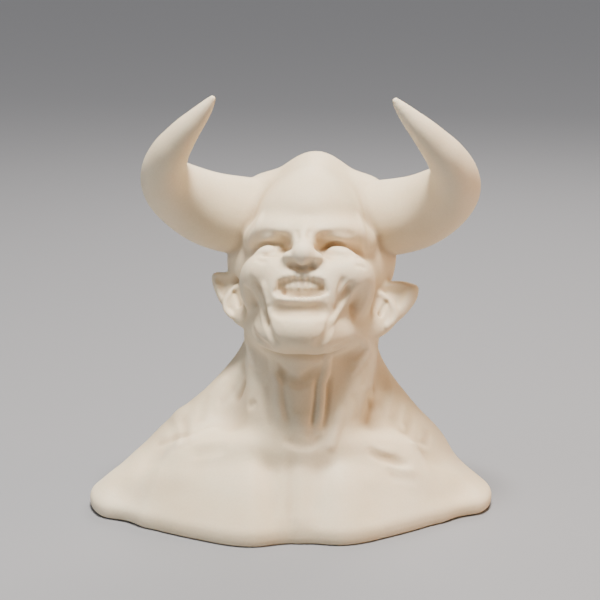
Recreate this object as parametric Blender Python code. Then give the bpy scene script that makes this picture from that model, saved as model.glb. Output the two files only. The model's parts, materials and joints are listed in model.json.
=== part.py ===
"""Devil head bust, cast in one piece: a horned, laughing head thrown back on a cut-off chest.

It is worked up as a sculptor works clay. Masses are laid on a grid of signed distances and
blended into one another, folds are pressed in or raised along strokes, and the skin is taken
off the grid. Inside the figure, lengths are in figure units, of which there are 143 to its height.
The figure faces -Y, its own left is at +X, and it stands on the origin.
"""

import math

import bmesh
import bpy
import numpy as np
import openvdb

# Driving sizes, in metres and degrees
HEIGHT = 0.143
RIM_HEIGHT = 0.0050
RIM_EDGE = 0.0030
HORN_ROOT_RADIUS = 0.0122
HORN_TIP_RADIUS = 0.0011
HEAD_TILT = 28.0
HEAD_TURN = -9.0

# How finely the clay is worked and the skin is faceted
GRID_STEP = 0.8
TRIANGLES = 9400

FIGURE_UNITS = 143.0
UNIT = HEIGHT / FIGURE_UNITS
FAR = 40.0
SIDES = (-1, 1)
EAR_LEAN = 0.12
BUST_COLOUR = (0.80, 0.76, 0.69, 1.0)
BUST_ROUGHNESS = 0.55


class Frame:
    """A place on the figure with axes of its own: x across, y to the back and z up."""

    def __init__(self, origin, turn=(0, 0, 0), parent=None):
        about_x, about_y, about_z = (math.radians(a) for a in turn)
        cx, sx = math.cos(about_x), math.sin(about_x)
        cy, sy = math.cos(about_y), math.sin(about_y)
        cz, sz = math.cos(about_z), math.sin(about_z)
        spin_x = np.array([[1, 0, 0], [0, cx, -sx], [0, sx, cx]])
        spin_y = np.array([[cy, 0, sy], [0, 1, 0], [-sy, 0, cy]])
        spin_z = np.array([[cz, -sz, 0], [sz, cz, 0], [0, 0, 1]])
        self.matrix = spin_z @ spin_x @ spin_y
        self.origin = np.array(origin, float)
        if parent is not None:
            self.origin = parent.out(self.origin)[0]
            self.matrix = parent.matrix @ self.matrix

    def out(self, points):
        """These points of the frame, in the figure's own coordinates."""
        return np.atleast_2d(points) @ self.matrix.T + self.origin

    def into(self, grid):
        """A block of the grid, in the frame's coordinates."""
        offset = [axis - start for axis, start in zip(grid, self.origin)]
        return [sum(float(self.matrix[i, j]) * offset[i] for i in range(3)) for j in range(3)]


WHOLE = Frame((0, 0, 0))
SEEN = Frame((0, 0, 72), (-13, 0, -3))
BEHIND = Frame((0, 0, 72), (0, 0, 180))


def merge(a, b, soft):
    """The nearer of two distances, rounded over where they are closer than soft to each other."""
    near = np.maximum(soft - np.abs(a - b), 0)
    return np.minimum(a, b) - near * near / (4 * soft)


def flowing(points, pieces=8):
    """A smooth path through these rows of numbers, which may carry radii after x, y and z."""
    points = np.asarray(points, float)
    ends = [2 * points[0] - points[1], 2 * points[-1] - points[-2]]
    knots = np.vstack([ends[0], points, ends[1]])
    path = []
    for before, start, end, after in zip(knots, knots[1:], knots[2:], knots[3:]):
        for step in range(pieces):
            t = step / pieces
            path.append(
                0.5 * (2 * start + (end - before) * t
                       + (2 * before - 5 * start + 4 * end - after) * t**2
                       + (3 * start - before - 3 * end + after) * t**3)
            )
    return np.array([*path, points[-1]])


class Clay:
    """A grid of signed distances to the figure's surface, in figure units, negative inside."""

    def __init__(self, low, high, step):
        self.step = step
        self.axes = [np.arange(a, b + step, step, dtype=np.float32) for a, b in zip(low, high)]
        self.field = np.full([len(axis) for axis in self.axes], FAR, np.float32)

    def window(self, points, reach):
        """The block of the grid within reach of these points, and its coordinates."""
        low, high = np.min(points, axis=0) - reach, np.max(points, axis=0) + reach
        cut = tuple(
            slice(int(np.searchsorted(axis, a)), int(np.searchsorted(axis, b)))
            for axis, a, b in zip(self.axes, low, high)
        )
        x, y, z = (axis[block] for axis, block in zip(self.axes, cut))
        return cut, (x[:, None, None], y[None, :, None], z[None, None, :])

    def lay(self, cut, distance, soft, sign):
        """Adds a form to the clay, or takes it away where sign is -1."""
        self.field[cut] = sign * merge(sign * self.field[cut], distance, soft)

    def ball(self, centre, radii, soft=3.0, turn=(0, 0, 0), frame=WHOLE, sign=1):
        """A ball or an egg of clay."""
        own = Frame(centre, turn, frame)
        radii = np.broadcast_to(np.asarray(radii, float), 3)
        cut, grid = self.window(own.out([(0, 0, 0)]), float(radii.max()) + soft + 2 * self.step)
        x, y, z = own.into(grid)
        near = np.sqrt((x / radii[0]) ** 2 + (y / radii[1]) ** 2 + (z / radii[2]) ** 2)
        slope = np.sqrt((x / radii[0] ** 2) ** 2 + (y / radii[1] ** 2) ** 2 + (z / radii[2] ** 2) ** 2)
        self.lay(cut, near * (near - 1) / np.maximum(slope, 1e-6), soft, sign)

    def roll(self, path, soft=3.0, frame=WHOLE, sign=1):
        """A roll of clay along rows of x, y, z and radius."""
        path = flowing(path)
        whole, _ = self.window(frame.out(path[:, :3]), path[:, 3].max() + soft + 2 * self.step)
        start = [block.start for block in whole]
        roll = np.full(self.field[whole].shape, FAR, np.float32)
        for a, b in zip(path, path[1:]):
            reach = max(a[3], b[3]) + soft + 2 * self.step
            cut, grid = self.window(frame.out([a[:3], b[:3]]), reach)
            x, y, z = frame.into(grid)
            away = [x - a[0], y - a[1], z - a[2]]
            along = b[:3] - a[:3]
            t = np.clip(sum(p * c for p, c in zip(away, along)) / max(along @ along, 1e-9), 0, 1)
            gap = sum((p - t * c) ** 2 for p, c in zip(away, along))
            distance = np.sqrt(gap) - (a[3] + t * (b[3] - a[3]))
            inner = tuple(slice(c.start - s, c.stop - s) for c, s in zip(cut, start))
            roll[inner] = np.minimum(roll[inner], distance)
        self.lay(whole, roll, soft, sign)

    def slope(self, outline, slant, foot, top, soft, blend):
        """A hill with this outline at its foot. It draws in by slant times its height,
        up to a round top."""
        outline = flowing([*outline, outline[0]])
        x, y = (axis[:, None] for axis in self.axes[:2])
        y = y.reshape(1, -1)
        gap = np.full((len(self.axes[0]), len(self.axes[1])), FAR * FAR, np.float32)
        inside = np.zeros(gap.shape, bool)
        for a, b in zip(outline, outline[1:]):
            along = b - a
            t = np.clip(((x - a[0]) * along[0] + (y - a[1]) * along[1]) / (along @ along), 0, 1)
            gap = np.minimum(gap, (x - a[0] - t * along[0]) ** 2 + (y - a[1] - t * along[1]) ** 2)
            if a[1] != b[1]:
                crosses = (a[1] > y) != (b[1] > y)
                inside ^= crosses & (x < a[0] + (y - a[1]) * along[0] / along[1])
        edge = np.where(inside, -1, 1) * np.sqrt(gap)
        for _ in range(round(2 * (soft / 2 / self.step) ** 2)):
            edge[1:-1] = (edge[:-2] + 2 * edge[1:-1] + edge[2:]) / 4
            edge[:, 1:-1] = (edge[:, :-2] + 2 * edge[:, 1:-1] + edge[:, 2:]) / 4
        rise = np.maximum(self.axes[2] - foot, 0)[None, None, :]
        sides = (edge[:, :, None] + slant * rise) / math.sqrt(1 + slant**2)
        lid = np.broadcast_to((self.axes[2] - top)[None, None, :], sides.shape)
        self.field = merge(self.field, -merge(-sides, -lid, 6 * soft), blend)

    def touch(self, frame, x, z, behind=60.0):
        """Where a needle pushed along the frame's y, from the front, meets the clay."""
        depth = np.arange(-behind, behind, self.step / 2)
        needle = frame.out(np.stack([np.full_like(depth, x), depth, np.full_like(depth, z)], axis=1))
        index = [
            np.clip(np.round((needle[:, i] - axis[0]) / self.step).astype(int), 0, len(axis) - 1)
            for i, axis in enumerate(self.axes)
        ]
        value = self.field[tuple(index)]
        inside = np.nonzero(value < 0)[0]
        if not len(inside):
            return 0.0
        first = max(inside[0], 1)
        share = value[first - 1] / max(value[first - 1] - value[first], 1e-6)
        return float(depth[first - 1] + share * (depth[first] - depth[first - 1]))

    def stroke(self, marks, width, depth, frame=WHOLE):
        """Presses the skin in by depth along a line that fades out towards its two ends.

        Marks are x and z as seen from the frame's front, and the line is laid onto the clay there.
        A depth below zero raises the skin.
        """
        path = np.array([(x, self.touch(frame, x, z), z) for x, z in flowing(marks)])
        for _ in range(6):
            path[1:-1, 1] = (path[:-2, 1] + 2 * path[1:-1, 1] + path[2:, 1]) / 4
        share = np.linspace(0, 1, len(path))
        strength = np.clip(4 * np.minimum(share, 1 - share), 0, 1)
        strength = strength * strength * (3 - 2 * strength)
        whole, _ = self.window(frame.out(path), width + self.step)
        start = [block.start for block in whole]
        nearest = np.full(self.field[whole].shape, width, np.float32)
        power = np.zeros(nearest.shape, np.float32)
        for a, b, f, g in zip(path, path[1:], strength, strength[1:]):
            cut, grid = self.window(frame.out([a, b]), width + self.step)
            x, y, z = frame.into(grid)
            away = [x - a[0], y - a[1], z - a[2]]
            along = b - a
            t = np.clip(sum(p * c for p, c in zip(away, along)) / max(along @ along, 1e-9), 0, 1)
            gap = np.sqrt(sum((p - t * c) ** 2 for p, c in zip(away, along)))
            inner = tuple(slice(c.start - s, c.stop - s) for c, s in zip(cut, start))
            closer = gap < nearest[inner]
            nearest[inner] = np.where(closer, gap, nearest[inner])
            power[inner] = np.where(closer, f + t * (g - f), power[inner])
        fall = 1 - nearest / width
        self.field[whole] += depth * power * (fall * (2 - fall)) ** 2

    def plate(self, outline, middle, lean, thick, soft, frame, sign=1):
        """A plate with this outline of x and z. Its mid plane is at y = middle, and leans by x."""
        outline = flowing([*outline, outline[0]], 4)
        corners = [(x, middle + lean * x, z) for x, z in outline]
        cut, grid = self.window(frame.out(corners), thick + soft + 2 * self.step)
        x, y, z = frame.into(grid)
        gap = np.full(x.shape, FAR * FAR, np.float32)
        inside = np.zeros(x.shape, bool)
        for a, b in zip(outline, outline[1:]):
            along = b - a
            t = np.clip(((x - a[0]) * along[0] + (z - a[1]) * along[1]) / max(along @ along, 1e-9), 0, 1)
            gap = np.minimum(gap, (x - a[0] - t * along[0]) ** 2 + (z - a[1] - t * along[1]) ** 2)
            if a[1] != b[1]:
                crosses = (a[1] > z) != (b[1] > z)
                inside ^= crosses & (x < a[0] + (z - a[1]) * along[0] / along[1])
        edge = np.where(inside, -1, 1) * np.sqrt(gap)
        face = (np.abs(y - middle - lean * x) - thick) / math.sqrt(1 + lean**2)
        self.lay(cut, -merge(-edge, -face, 1.5 * thick), soft, sign)

    def stand_on_rim(self, rim, edge):
        """Runs the outline at the rim's height straight down, and rounds the edge below."""
        heights = self.axes[2]
        lifted = np.maximum(heights, rim)
        lifted = lifted + np.maximum(edge / 2 - np.abs(heights - rim), 0) ** 2 / (2 * edge)
        place = (lifted - heights[0]) / self.step
        low = np.clip(np.floor(place).astype(int), 0, len(heights) - 2)
        share = (place - low).astype(np.float32)
        self.field = self.field[:, :, low] * (1 - share) + self.field[:, :, low + 1] * share
        ground = -heights[None, None, :] - 0.15 * edge
        self.field = -merge(-self.field, -ground, edge)


def skull(clay, head):
    """The cranium with its low pointed crown, and the block of the face."""
    clay.ball((0, 6, 21), (28, 26, 29.8), 6, frame=head)
    clay.roll([(0, -16, 36.2, 5), (0, -4, 44.2, 5), (0, 6, 47.2, 4.5), (0, 16, 44.2, 5)], 10, head)
    clay.ball((0, -12, 24), (15, 14.5, 14), 7, frame=head)
    clay.ball((0, -11, 2), (17, 16, 15.5), 8, frame=head)
    for side in SIDES:
        clay.ball((17 * side, 3, 36.4), (8.5, 12, 8), 5, frame=head)
        clay.ball((17.6 * side - 2, 7, 14), (8.8, 12, 12), 6, frame=head)


def horns(clay, head):
    """Two bull's horns: out of the temples, round to the front and up to a blunt point."""
    route = (
        (13, 0, 28.7, 1.03), (24.6, -3, 28.7, 1.04), (34, -7, 29.3, 1.0), (41.2, -14, 30.7, 0.90),
        (45.8, -22.5, 32.3, 0.755), (46.6, -31, 34.8, 0.61), (44.4, -38, 38.0, 0.51),
        (41.3, -42.4, 40.8, 0.43), (37.9, -46, 43.6, 0.35), (34.2, -48.8, 46.5, 0.265),
        (31, -51.2, 49.2, 0.175), (28.9, -52.8, 51.2, None),
    )
    root, tip = HORN_ROOT_RADIUS / UNIT, HORN_TIP_RADIUS / UNIT
    for side, bow, elbow, swell, lift, rise in ((-1, -0.7, 0.8, 0.045, -0.1, 0.2),
                                                (1, 0.0, 0.9, 0.01, 0.1, 0.7)):
        path = []
        for n, (x, y, z, share) in enumerate(route):
            turn = math.exp(-(((n - 4) / 2) ** 2))
            base = math.exp(-(((n - 1) / 2) ** 2))
            out = x + bow * math.sin(math.pi * n / (len(route) - 1)) + elbow * turn
            radius = tip if share is None else root * (share + swell * base)
            path.append((side * out, y, z + lift * base + rise * turn, radius))
        clay.roll(path, 1.2, head)


def face(clay, head):
    """Jaw and chin, cheeks pushed up in a laugh, squinting eyes, lowered brows and a broad nose."""
    clay.ball((0, -19, -6), (12.5, 13, 12), 6, frame=head)
    clay.ball((0, -18.5, 24), (14, 10.8, 11), 7, frame=head)
    chin = [(-8.4, -13), (-8.6, -16.4), (-7.2, -19.6), (-4, -21.4), (0, -21.8), (4, -21.4), (7.2, -19.4),
            (8.6, -16.4), (8.4, -13), (0, -12)]
    clay.plate(chin, -26.4, 0, 4.8, 5, head)
    clay.ball((0.2, -24.2, -16.6), (8.2, 8.2, 6.4), 3, frame=head)
    for side in SIDES:
        clay.roll([(6.5 * side, -22, -17.6, 4.4), (11.5 * side, -14, -14.4, 4.8),
                   (15 * side, -2, -9, 5.5)], 5, head)
        clay.roll([(1.5 * side, -27.0, 14.4, 3.9), (8 * side, -26.2, 16.0, 4.0),
                   (13.5 * side, -21.4, 17.6, 3.8),
                   (17.5 * side, -13, 18.0, 3.8)], 4.5, head)
        clay.ball((12.9 * side + 0.7, -21.4, 3.4), (8.0, 8.2, 7.2), 3.5, (0, 14 * side, -18 * side), head)
        clay.ball((17 * side, -12, 2), (5.2, 9, 8), 5, frame=head)
        clay.ball((8 * side, -25.4, 2), (5, 5.4, 5), 4, frame=head)
        clay.ball((10.0 * side, -30.3, 11.1), (7.4, 5.6, 2.8), 1.7, (0, 14 * side, 14 * side), head, -1)
        clay.ball((11.2 * side, -23.9, 9.5), (4.9, 3.9, 2.6), 1.4, (0, 14 * side, -20 * side), head)
    clay.roll([(0, -28.6, 14.2, 3.5), (0, -30.6, 11, 3.3), (0.2, -32.6, 8.2, 3.4),
               (0.4, -33.8, 6.6, 3.6)], 2.2, head)
    for side in SIDES:
        clay.ball((4.2 * side, -30.6, 5.6), (2.5, 3.8, 2.3), 2.2, frame=head)
        clay.ball((3.4 * side, -33.0, 2.6), (1.7, 2.8, 1.5), 1.4, frame=head, sign=-1)


def mouth(clay, head):
    """A wide grin: the lips, and two rows of clenched teeth inside it."""
    clay.ball((0, -24.4, -3.4), (12.4, 8.0, 8), 4, frame=head)
    clay.plate([(-10.4, -4.6), (-9.8, -2.6), (-8, -0.8), (-4.4, -0.2), (0, -0.1), (4.4, -0.2), (8, -0.8),
                (9.8, -2.6),
                (10.6, -4.6), (9.2, -7.0), (5, -8.0), (0, -8.2), (-5, -8.0),
                (-9.2, -7.0)], -34, 0, 6.4, 0.8, head, -1)
    clay.ball((0, -20.2, -3.8), (10.8, 10.4, 7.4), 0.5, frame=head)
    lip = [(-9.8, -26.0, -5.2, 0.7), (-7.4, -28.6, -7.7, 0.95), (-3.6, -30.6, -8.6, 1.1),
           (0, -31.2, -8.8, 1.1),
           (3.6, -30.6, -8.6, 1.1), (7.4, -28.6, -7.7, 0.95), (9.8, -26.0, -5.2, 0.7)]
    clay.roll(lip, 1.2, head)
    clay.stroke([(-7.6, -0.6), (-5, -1.6), (-1.4, -2.1), (3.5, -2.2), (8, -1.7),
                 (11, -0.4)], 4.0, 1.7, SEEN)
    for n in range(9):
        clay.stroke([(-4.6 + 1.7 * n, 8.6), (-4.6 + 1.7 * n, 5.8), (-4.6 + 1.7 * n, 3)], 1.1, 1.0, SEEN)


def ears(clay, head):
    """Pointed ears that stand out to the sides, cupped to the front, each with its own outline."""
    right = [(-19, 8), (-24, 9.6), (-29.2, 10.3), (-32.4, 10.4), (-33.8, 9.8), (-34.2, 8.4), (-33.8, 6),
             (-32.5, 2.8), (-30.9, -0.2), (-28.3, -3.1), (-27.4, -3.6), (-25.8, -6.8), (-24, -8),
             (-21.4, -8.2), (-18.5, -6)]
    left = [(18, 6), (24, 8), (30, 8.7), (34.2, 8.0), (36, 7.0), (36.3, 5.4), (35.4, 1.7), (32.4, -2.8),
            (29.2, -6.2), (27.3, -8.6), (24.6, -10.8), (21, -11.2), (18, -9.5)]
    front = -2.9
    for side, outline, drop in ((-1, right, 0), (1, left, 2.2)):
        own = Frame((0, 0, -drop), parent=head)
        lean = EAR_LEAN * side
        clay.plate(outline, front + 1.9, lean, 1.9, 1.5, head)
        clay.ball((20.5 * side, 1, -4.6), (4.2, 3.4, 4.8), 2, frame=own)
        cup = [(side * x, z - drop) for x, z in
               ((22.6, 5.4), (24.6, 8.0), (28.4, 8.9), (31.6, 8.8), (32.9, 7.6), (32.5, 5.4), (31.2, 2.4),
                (29.4, 0.2), (28.0, 2.0), (26.0, 4.2))]
        clay.plate(cup, front - 0.8, lean, 3.0, 1.0, head, -1)

        def along(marks, radius, sink):
            """A path over the ear's face, sunk into it by this much."""
            return [(side * x, front + EAR_LEAN * x + sink, z, radius) for x, z in marks]

        clay.roll(along([(21.6, 6.2), (25.0, 4.4), (27.4, 1.8), (28.6, -0.8), (28.2, -3.4),
                         (26.2, -5.6)], 0.9, 0.2), 1.0, own)
        clay.roll(along([(25.6, 2.4), (24.4, 0.2), (23.2, -2.4)], 0.75, -0.1), 0.7, own, -1)
        clay.roll(along([(19.6, 3.4), (20.2, 0), (20.4, -4), (19.8, -8.4)], 1.2, -0.2), 1.5, own)


def torso(clay):
    """The chest and back cut off at the breast, the stumps of the arms and the shoulders."""
    foot = RIM_HEIGHT / UNIT
    chest = [(0, -34.6), (3.5, -35.4), (8, -37), (13.5, -38.3), (18.5, -37.6), (24, -35.4), (30, -31.8),
             (38, -26.7), (46, -20.8), (52, -14.8), (54, 4), (51, 18), (40, 26), (22, 29), (0, 28)]
    chest += [(-x, y) for x, y in reversed(chest[1:-1])]
    clay.slope([(x - 1, y) for x, y in chest], 0.62, foot, 33, 3, 3)
    stump = [(40, -12), (54.5, -11.8), (60, -11.2), (64.5, -9.2), (67.8, -4), (69.6, 4), (68.6, 12),
             (63, 20),
             (52, 24), (40, 22), (34, 4)]
    for side, low in ((-1, 0), (1, 1)):
        clay.slope([(side * (x - low), y - 1.2 * side) for x, y in stump], 1.1, foot, 18 - 2 * low, 2.2,
                   7.5)
        clay.ball((49 * side, 8, 2.5 - low), (15, 14, 13), 4)
        clay.roll([(36 * side, -12, 15, 4), (43 * side, -8, 11.5 - low, 4.5),
                   (50 * side, -2, 9.5 - low, 5)], 7)
        clay.ball((23 * side + 1.5, 18, 17), (17.5, 11, 17), 8)
    clay.roll([(-2.2, 13, 45, 12.4), (-10.3, 12, 37.7, 13.2), (-27.3, 12, 23.6, 13.4),
               (-35.5, 11, 16.5, 13.6),
               (-43, 10, 9.5, 13.2)], 5)
    clay.roll([(15, 13, 45, 12.8), (24, 12, 35.3, 13), (33.4, 12, 22.9, 13.5), (41, 11, 14.2, 13.9),
               (45, 10, 8.2, 12.4)], 5)
    clay.roll([(4, 16, 44, 15), (0, 14, 24, 20)], 8)
    clay.roll([(-0.6, -29.4, 7, 5), (-0.4, -22, 19.4, 6), (0.4, -16, 29, 6)], 6)


def neck(clay, head):
    """The bull neck: its cords, the windpipe, the pit between the collar bones and the nape."""
    clay.roll([(6.5, 5, 66, 19), (6, 5, 54, 19.2), (4.5, 5, 38, 20), (1, 4, 22, 23)], 6)
    for side in SIDES:
        clay.roll([(6.6 + 7.6 * side, 17, 76, 13.5), (6.8 + 8 * side, 16, 54, 13.8),
                   (3 + 12 * side, 14, 34, 15)], 8)
        clay.roll([(6.6 + 13 * side, -1, 60, 8.4), (5 + 12.2 * side, -5, 48, 8.7),
                   (2.5 + 9.5 * side, -11, 36, 8.5),
                   (1 + 5 * side, -15.5, 28, 6)], 7)
    clay.roll([(2, -5, 60, 12), (1.2, -8.5, 48, 12), (0.8, -11.4, 38, 10.5), (0.6, -14, 30, 9)], 6)
    clay.ball((2.4, -14.0, 66.5), (14.0, 11, 11), 6)
    for side in SIDES:
        clay.roll([(3.2 * side, -20.6, 27.4, 2.2), (13 * side, -18.4, 28.0, 2.2),
                   (24 * side, -14.0, 26, 2.6),
                   (36 * side, -7.5, 22, 3.0)], 7)


def skin_folds(clay):
    """The folds that show from a step away: laughing cheeks, shut eyes, neck strands, chest and back."""
    laugh_folds = (
        [(-15, 9.8), (-13, 6.9), (-11.4, 4.8), (-10.2, 2.4), (-9.3, -0.1), (-8.8, -2.5), (-8.8, -5.6)],
        [(19.4, 7.2), (17.2, 4.1), (15.4, 1.7), (14.0, -0.8), (13, -3.4)],
    )
    laugh_ridges = (
        [(-10.2, 7.6), (-9.6, 5.4), (-8.9, 2.4), (-8.2, -0.4), (-7.7, -3.2), (-7.4, -6)],
        [(19, 4.4), (17.8, 2.2), (16.1, -0.1), (14.4, -2.5), (12.6, -5.3), (10.5, -8.9)],
    )
    shut_lids = (
        [(-11.8, 17.6), (-9.5, 19.0), (-7.7, 19.2), (-5.1, 17.6), (-3.9, 16.9), (-2.5, 17.0), (-1.0, 18.0)],
        [(6.4, 18.8), (8.0, 17.6), (9.8, 17.5), (11.2, 18.5), (13.0, 19.3), (14.7, 19.2), (18.2, 17)],
    )
    chin_sides = (
        [(-8.6, -3.5), (-8.4, -7), (-6.8, -11), (-3.6, -13.6)],
        [(12.4, -4), (11.4, -8), (9.4, -11.6), (5.6, -13.8)],
    )
    under_jaw = [(-13.6, -12), (-10, -15.2), (-4, -17.2), (3.5, -17.8), (10.5, -17), (16.4, -15),
                 (20.4, -12.4)]
    clay.stroke(under_jaw, 3, 1.1, SEEN)
    for side in chin_sides:
        clay.stroke(side, 2.6, 0.9, SEEN)
    for fold in laugh_folds:
        clay.stroke(fold, 2.1, 1.2, SEEN)
    for ridge in laugh_ridges:
        clay.stroke(ridge, 1.7, -0.8, SEEN)
    for lid in shut_lids:
        clay.stroke(lid, 1.7, 0.9, SEEN)
    neck_strands = (
        [(-8.2, -16), (-6.8, -20.4), (-5.6, -26.2), (-5.2, -32), (-4.2, -37), (-2.2, -42.6)],
        [(11.2, -14), (11.2, -19), (10.6, -23), (9.3, -27), (8.9, -33), (8.2, -38), (6.6, -43.6)],
        [(20.4, -9.6), (22.6, -12), (24.6, -14.6), (24.2, -17), (21.5, -19.2), (18.4, -21.1)],
        [(-16.6, -9), (-15.4, -13.4), (-14.4, -17.4), (-13.2, -22.6)],
    )
    for strand in neck_strands:
        clay.stroke(strand, 2.3, -0.9, SEEN)
    clay.stroke([(-7.6, -19.6), (-4.4, -22.6), (-1.3, -24.7), (1.9, -25.6), (5.5, -23.6),
                 (9.7, -20)], 3.2, 0.9, SEEN)
    clay.stroke([(-3.4, -43), (-1.6, -44.8), (1.6, -46), (5.4, -46), (8, -44.4),
                 (9.4, -42)], 2.6, 0.8, SEEN)
    clay.stroke([(23, -48), (27.5, -50.1), (30.5, -51.6), (35.2, -53), (40, -53.6)], 2.4, 0.9, SEEN)
    clay.stroke([(-0.8, -46), (-1, -54), (-1.1, -62), (-1.1, -70), (-1.1, -76)], 2.4, 1.0, SEEN)
    clay.stroke([(-5, 0), (-4, -14), (-2, -28), (0, -42), (0, -58)], 7, 2.0, BEHIND)


def sculpt(step):
    """The whole figure as clay, worked on a grid of this step."""
    head = Frame((5.5, 2, 72), (-HEAD_TILT, 0, HEAD_TURN))
    clay = Clay((-76, -44, -6), (76, 46, FIGURE_UNITS + 3), step)
    torso(clay)
    neck(clay, head)
    skull(clay, head)
    face(clay, head)
    mouth(clay, head)
    ears(clay, head)
    horns(clay, head)
    skin_folds(clay)
    clay.stand_on_rim(RIM_HEIGHT / UNIT, RIM_EDGE / UNIT)
    return clay


def skin_of(clay, name):
    """The clay's surface as a mesh object, in metres."""
    volume = openvdb.FloatGrid(FAR)
    volume.copyFromArray(np.ascontiguousarray(clay.field))
    points, faces = volume.convertToQuads(isovalue=0.0)
    start = np.array([axis[0] for axis in clay.axes])
    points = (points * clay.step + start) * UNIT
    mesh = bpy.data.meshes.new(name)
    mesh.from_pydata(points.tolist(), [], faces[:, ::-1].tolist())
    return bpy.data.objects.new(name, mesh)


def thin_out(bust, triangles):
    """Draws the skin with fewer, well placed triangles."""
    thinner = bust.modifiers.new("fewer triangles", "DECIMATE")
    thinner.ratio = triangles / sum(len(face.vertices) - 2 for face in bust.data.polygons)
    bpy.context.view_layer.update()
    graph = bpy.context.evaluated_depsgraph_get()
    mesh = bpy.data.meshes.new_from_object(bust.evaluated_get(graph))
    bust.modifiers.remove(thinner)
    bust.data = mesh


def cut_flat(bust):
    """Cuts the underside flat at the ground and closes it, and drops any crumb left over."""
    work = bmesh.new()
    work.from_mesh(bust.data)
    bmesh.ops.bisect_plane(work, geom=[*work.verts, *work.edges, *work.faces], dist=1e-6,
                           plane_co=(0, 0, 0), plane_no=(0, 0, 1), clear_inner=True)
    bmesh.ops.holes_fill(work, edges=[edge for edge in work.edges if edge.is_boundary])
    left = set(work.verts)
    bodies = []
    while left:
        body, reached = set(), [left.pop()]
        while reached:
            vertex = reached.pop()
            body.add(vertex)
            for edge in vertex.link_edges:
                other = edge.other_vert(vertex)
                if other in left:
                    left.remove(other)
                    reached.append(other)
        bodies.append(body)
    crumbs = sorted(bodies, key=len)[:-1]
    bmesh.ops.delete(work, geom=[vertex for body in crumbs for vertex in body], context="VERTS")
    bmesh.ops.triangulate(work, faces=work.faces)
    bmesh.ops.recalc_face_normals(work, faces=work.faces)
    work.to_mesh(bust.data)
    work.free()


def centre(bust):
    """Puts the origin under the middle of the bust's bounding box."""
    points = np.array([vertex.co for vertex in bust.data.vertices])
    middle = (points.min(axis=0) + points.max(axis=0)) / 2
    for vertex in bust.data.vertices:
        vertex.co.x -= middle[0]
        vertex.co.y -= middle[1]


def colour(bust):
    """One plain material, the pale resin that the bust is cast in."""
    resin = bpy.data.materials.new("pale_resin")
    resin.diffuse_color = BUST_COLOUR
    resin.use_nodes = True
    shader = resin.node_tree.nodes["Principled BSDF"]
    shader.inputs["Base Color"].default_value = BUST_COLOUR
    shader.inputs["Roughness"].default_value = BUST_ROUGHNESS
    bust.data.materials.append(resin)


def build():
    """Clears the scene and makes the bust."""
    for old in list(bpy.data.objects):
        bpy.data.objects.remove(old)
    bust = skin_of(sculpt(GRID_STEP), "devil_bust")
    bpy.context.scene.collection.objects.link(bust)
    thin_out(bust, TRIANGLES)
    cut_flat(bust)
    centre(bust)
    colour(bust)


if __name__ == "__main__":
    build()
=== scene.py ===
"""Looks of the devil head bust: the fine sculpt, its cast resin, the studio and the camera.

The fine sculpt is worked up as the solid is, in clay on a grid of signed distances, with a finer
grid and the small forms that the solid leaves out. Inside the figure, lengths are in figure units,
of which there are 143 to its height. The figure faces -Y, and its own left is at +X.
"""

import json
import math

import bmesh
import bpy
import numpy as np
import openvdb
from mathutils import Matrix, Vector

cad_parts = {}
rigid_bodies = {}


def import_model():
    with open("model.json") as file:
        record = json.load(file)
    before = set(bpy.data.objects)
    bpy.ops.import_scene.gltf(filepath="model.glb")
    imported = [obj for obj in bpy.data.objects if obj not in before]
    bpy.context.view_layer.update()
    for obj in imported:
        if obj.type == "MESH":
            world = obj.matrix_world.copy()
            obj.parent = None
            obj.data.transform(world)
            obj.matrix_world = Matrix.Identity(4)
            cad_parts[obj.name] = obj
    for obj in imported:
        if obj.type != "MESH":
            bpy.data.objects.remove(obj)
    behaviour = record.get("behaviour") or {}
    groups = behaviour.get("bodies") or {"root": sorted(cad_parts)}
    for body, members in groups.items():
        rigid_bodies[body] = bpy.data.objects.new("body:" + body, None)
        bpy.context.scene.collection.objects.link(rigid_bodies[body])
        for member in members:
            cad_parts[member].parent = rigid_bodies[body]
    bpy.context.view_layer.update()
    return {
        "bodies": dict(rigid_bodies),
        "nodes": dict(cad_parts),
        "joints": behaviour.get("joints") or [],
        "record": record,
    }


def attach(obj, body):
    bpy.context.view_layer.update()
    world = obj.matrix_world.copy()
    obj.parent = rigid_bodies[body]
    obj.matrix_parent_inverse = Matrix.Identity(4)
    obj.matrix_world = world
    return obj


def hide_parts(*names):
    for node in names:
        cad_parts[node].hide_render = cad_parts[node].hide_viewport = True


# Driving sizes of the bust, in metres and degrees
HEIGHT = 0.143
RIM_HEIGHT = 0.0050
RIM_EDGE = 0.0030
HORN_ROOT_RADIUS = 0.0122
HORN_TIP_RADIUS = 0.0011
HEAD_TILT = 28.0
HEAD_TURN = -9.0

# How finely the clay is worked and the skin is faceted
GRID_STEP = 0.55
TRIANGLES = 190000

# The figure's own units, the block of space that the clay has, and where the head sits on the neck
FIGURE_UNITS = 143.0
UNIT = HEIGHT / FIGURE_UNITS
CLAY_LOW = (-76, -44, -6)
CLAY_HIGH = (76, 46, FIGURE_UNITS + 3)
HEAD_PLACE = (5.5, 2, 72)
SIDES = (-1, 1)

# How far an ear's face leans back for each unit that it stands out
EAR_LEAN = 0.12

# The share of the rim's rounded edge that is sunk into the ground, and so is cut off
RIM_SUNK = 0.15

# How forms are rounded: the top of a hill, as a multiple of its softness, the edge of a plate, as a
# multiple of its thickness, and the depth of a line, in rounds of averaging. LINE_FADE is the share of
# a line over which it fades out at each end.
HILL_ROUNDING = 6
PLATE_ROUNDING = 1.5
LINE_ROUNDS = 6
LINE_FADE = 0.25

# What counts as far off, and how far from a frame's middle a needle starts and ends, in figure units
FAR = 40.0
NEEDLE_REACH = 60.0

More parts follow.
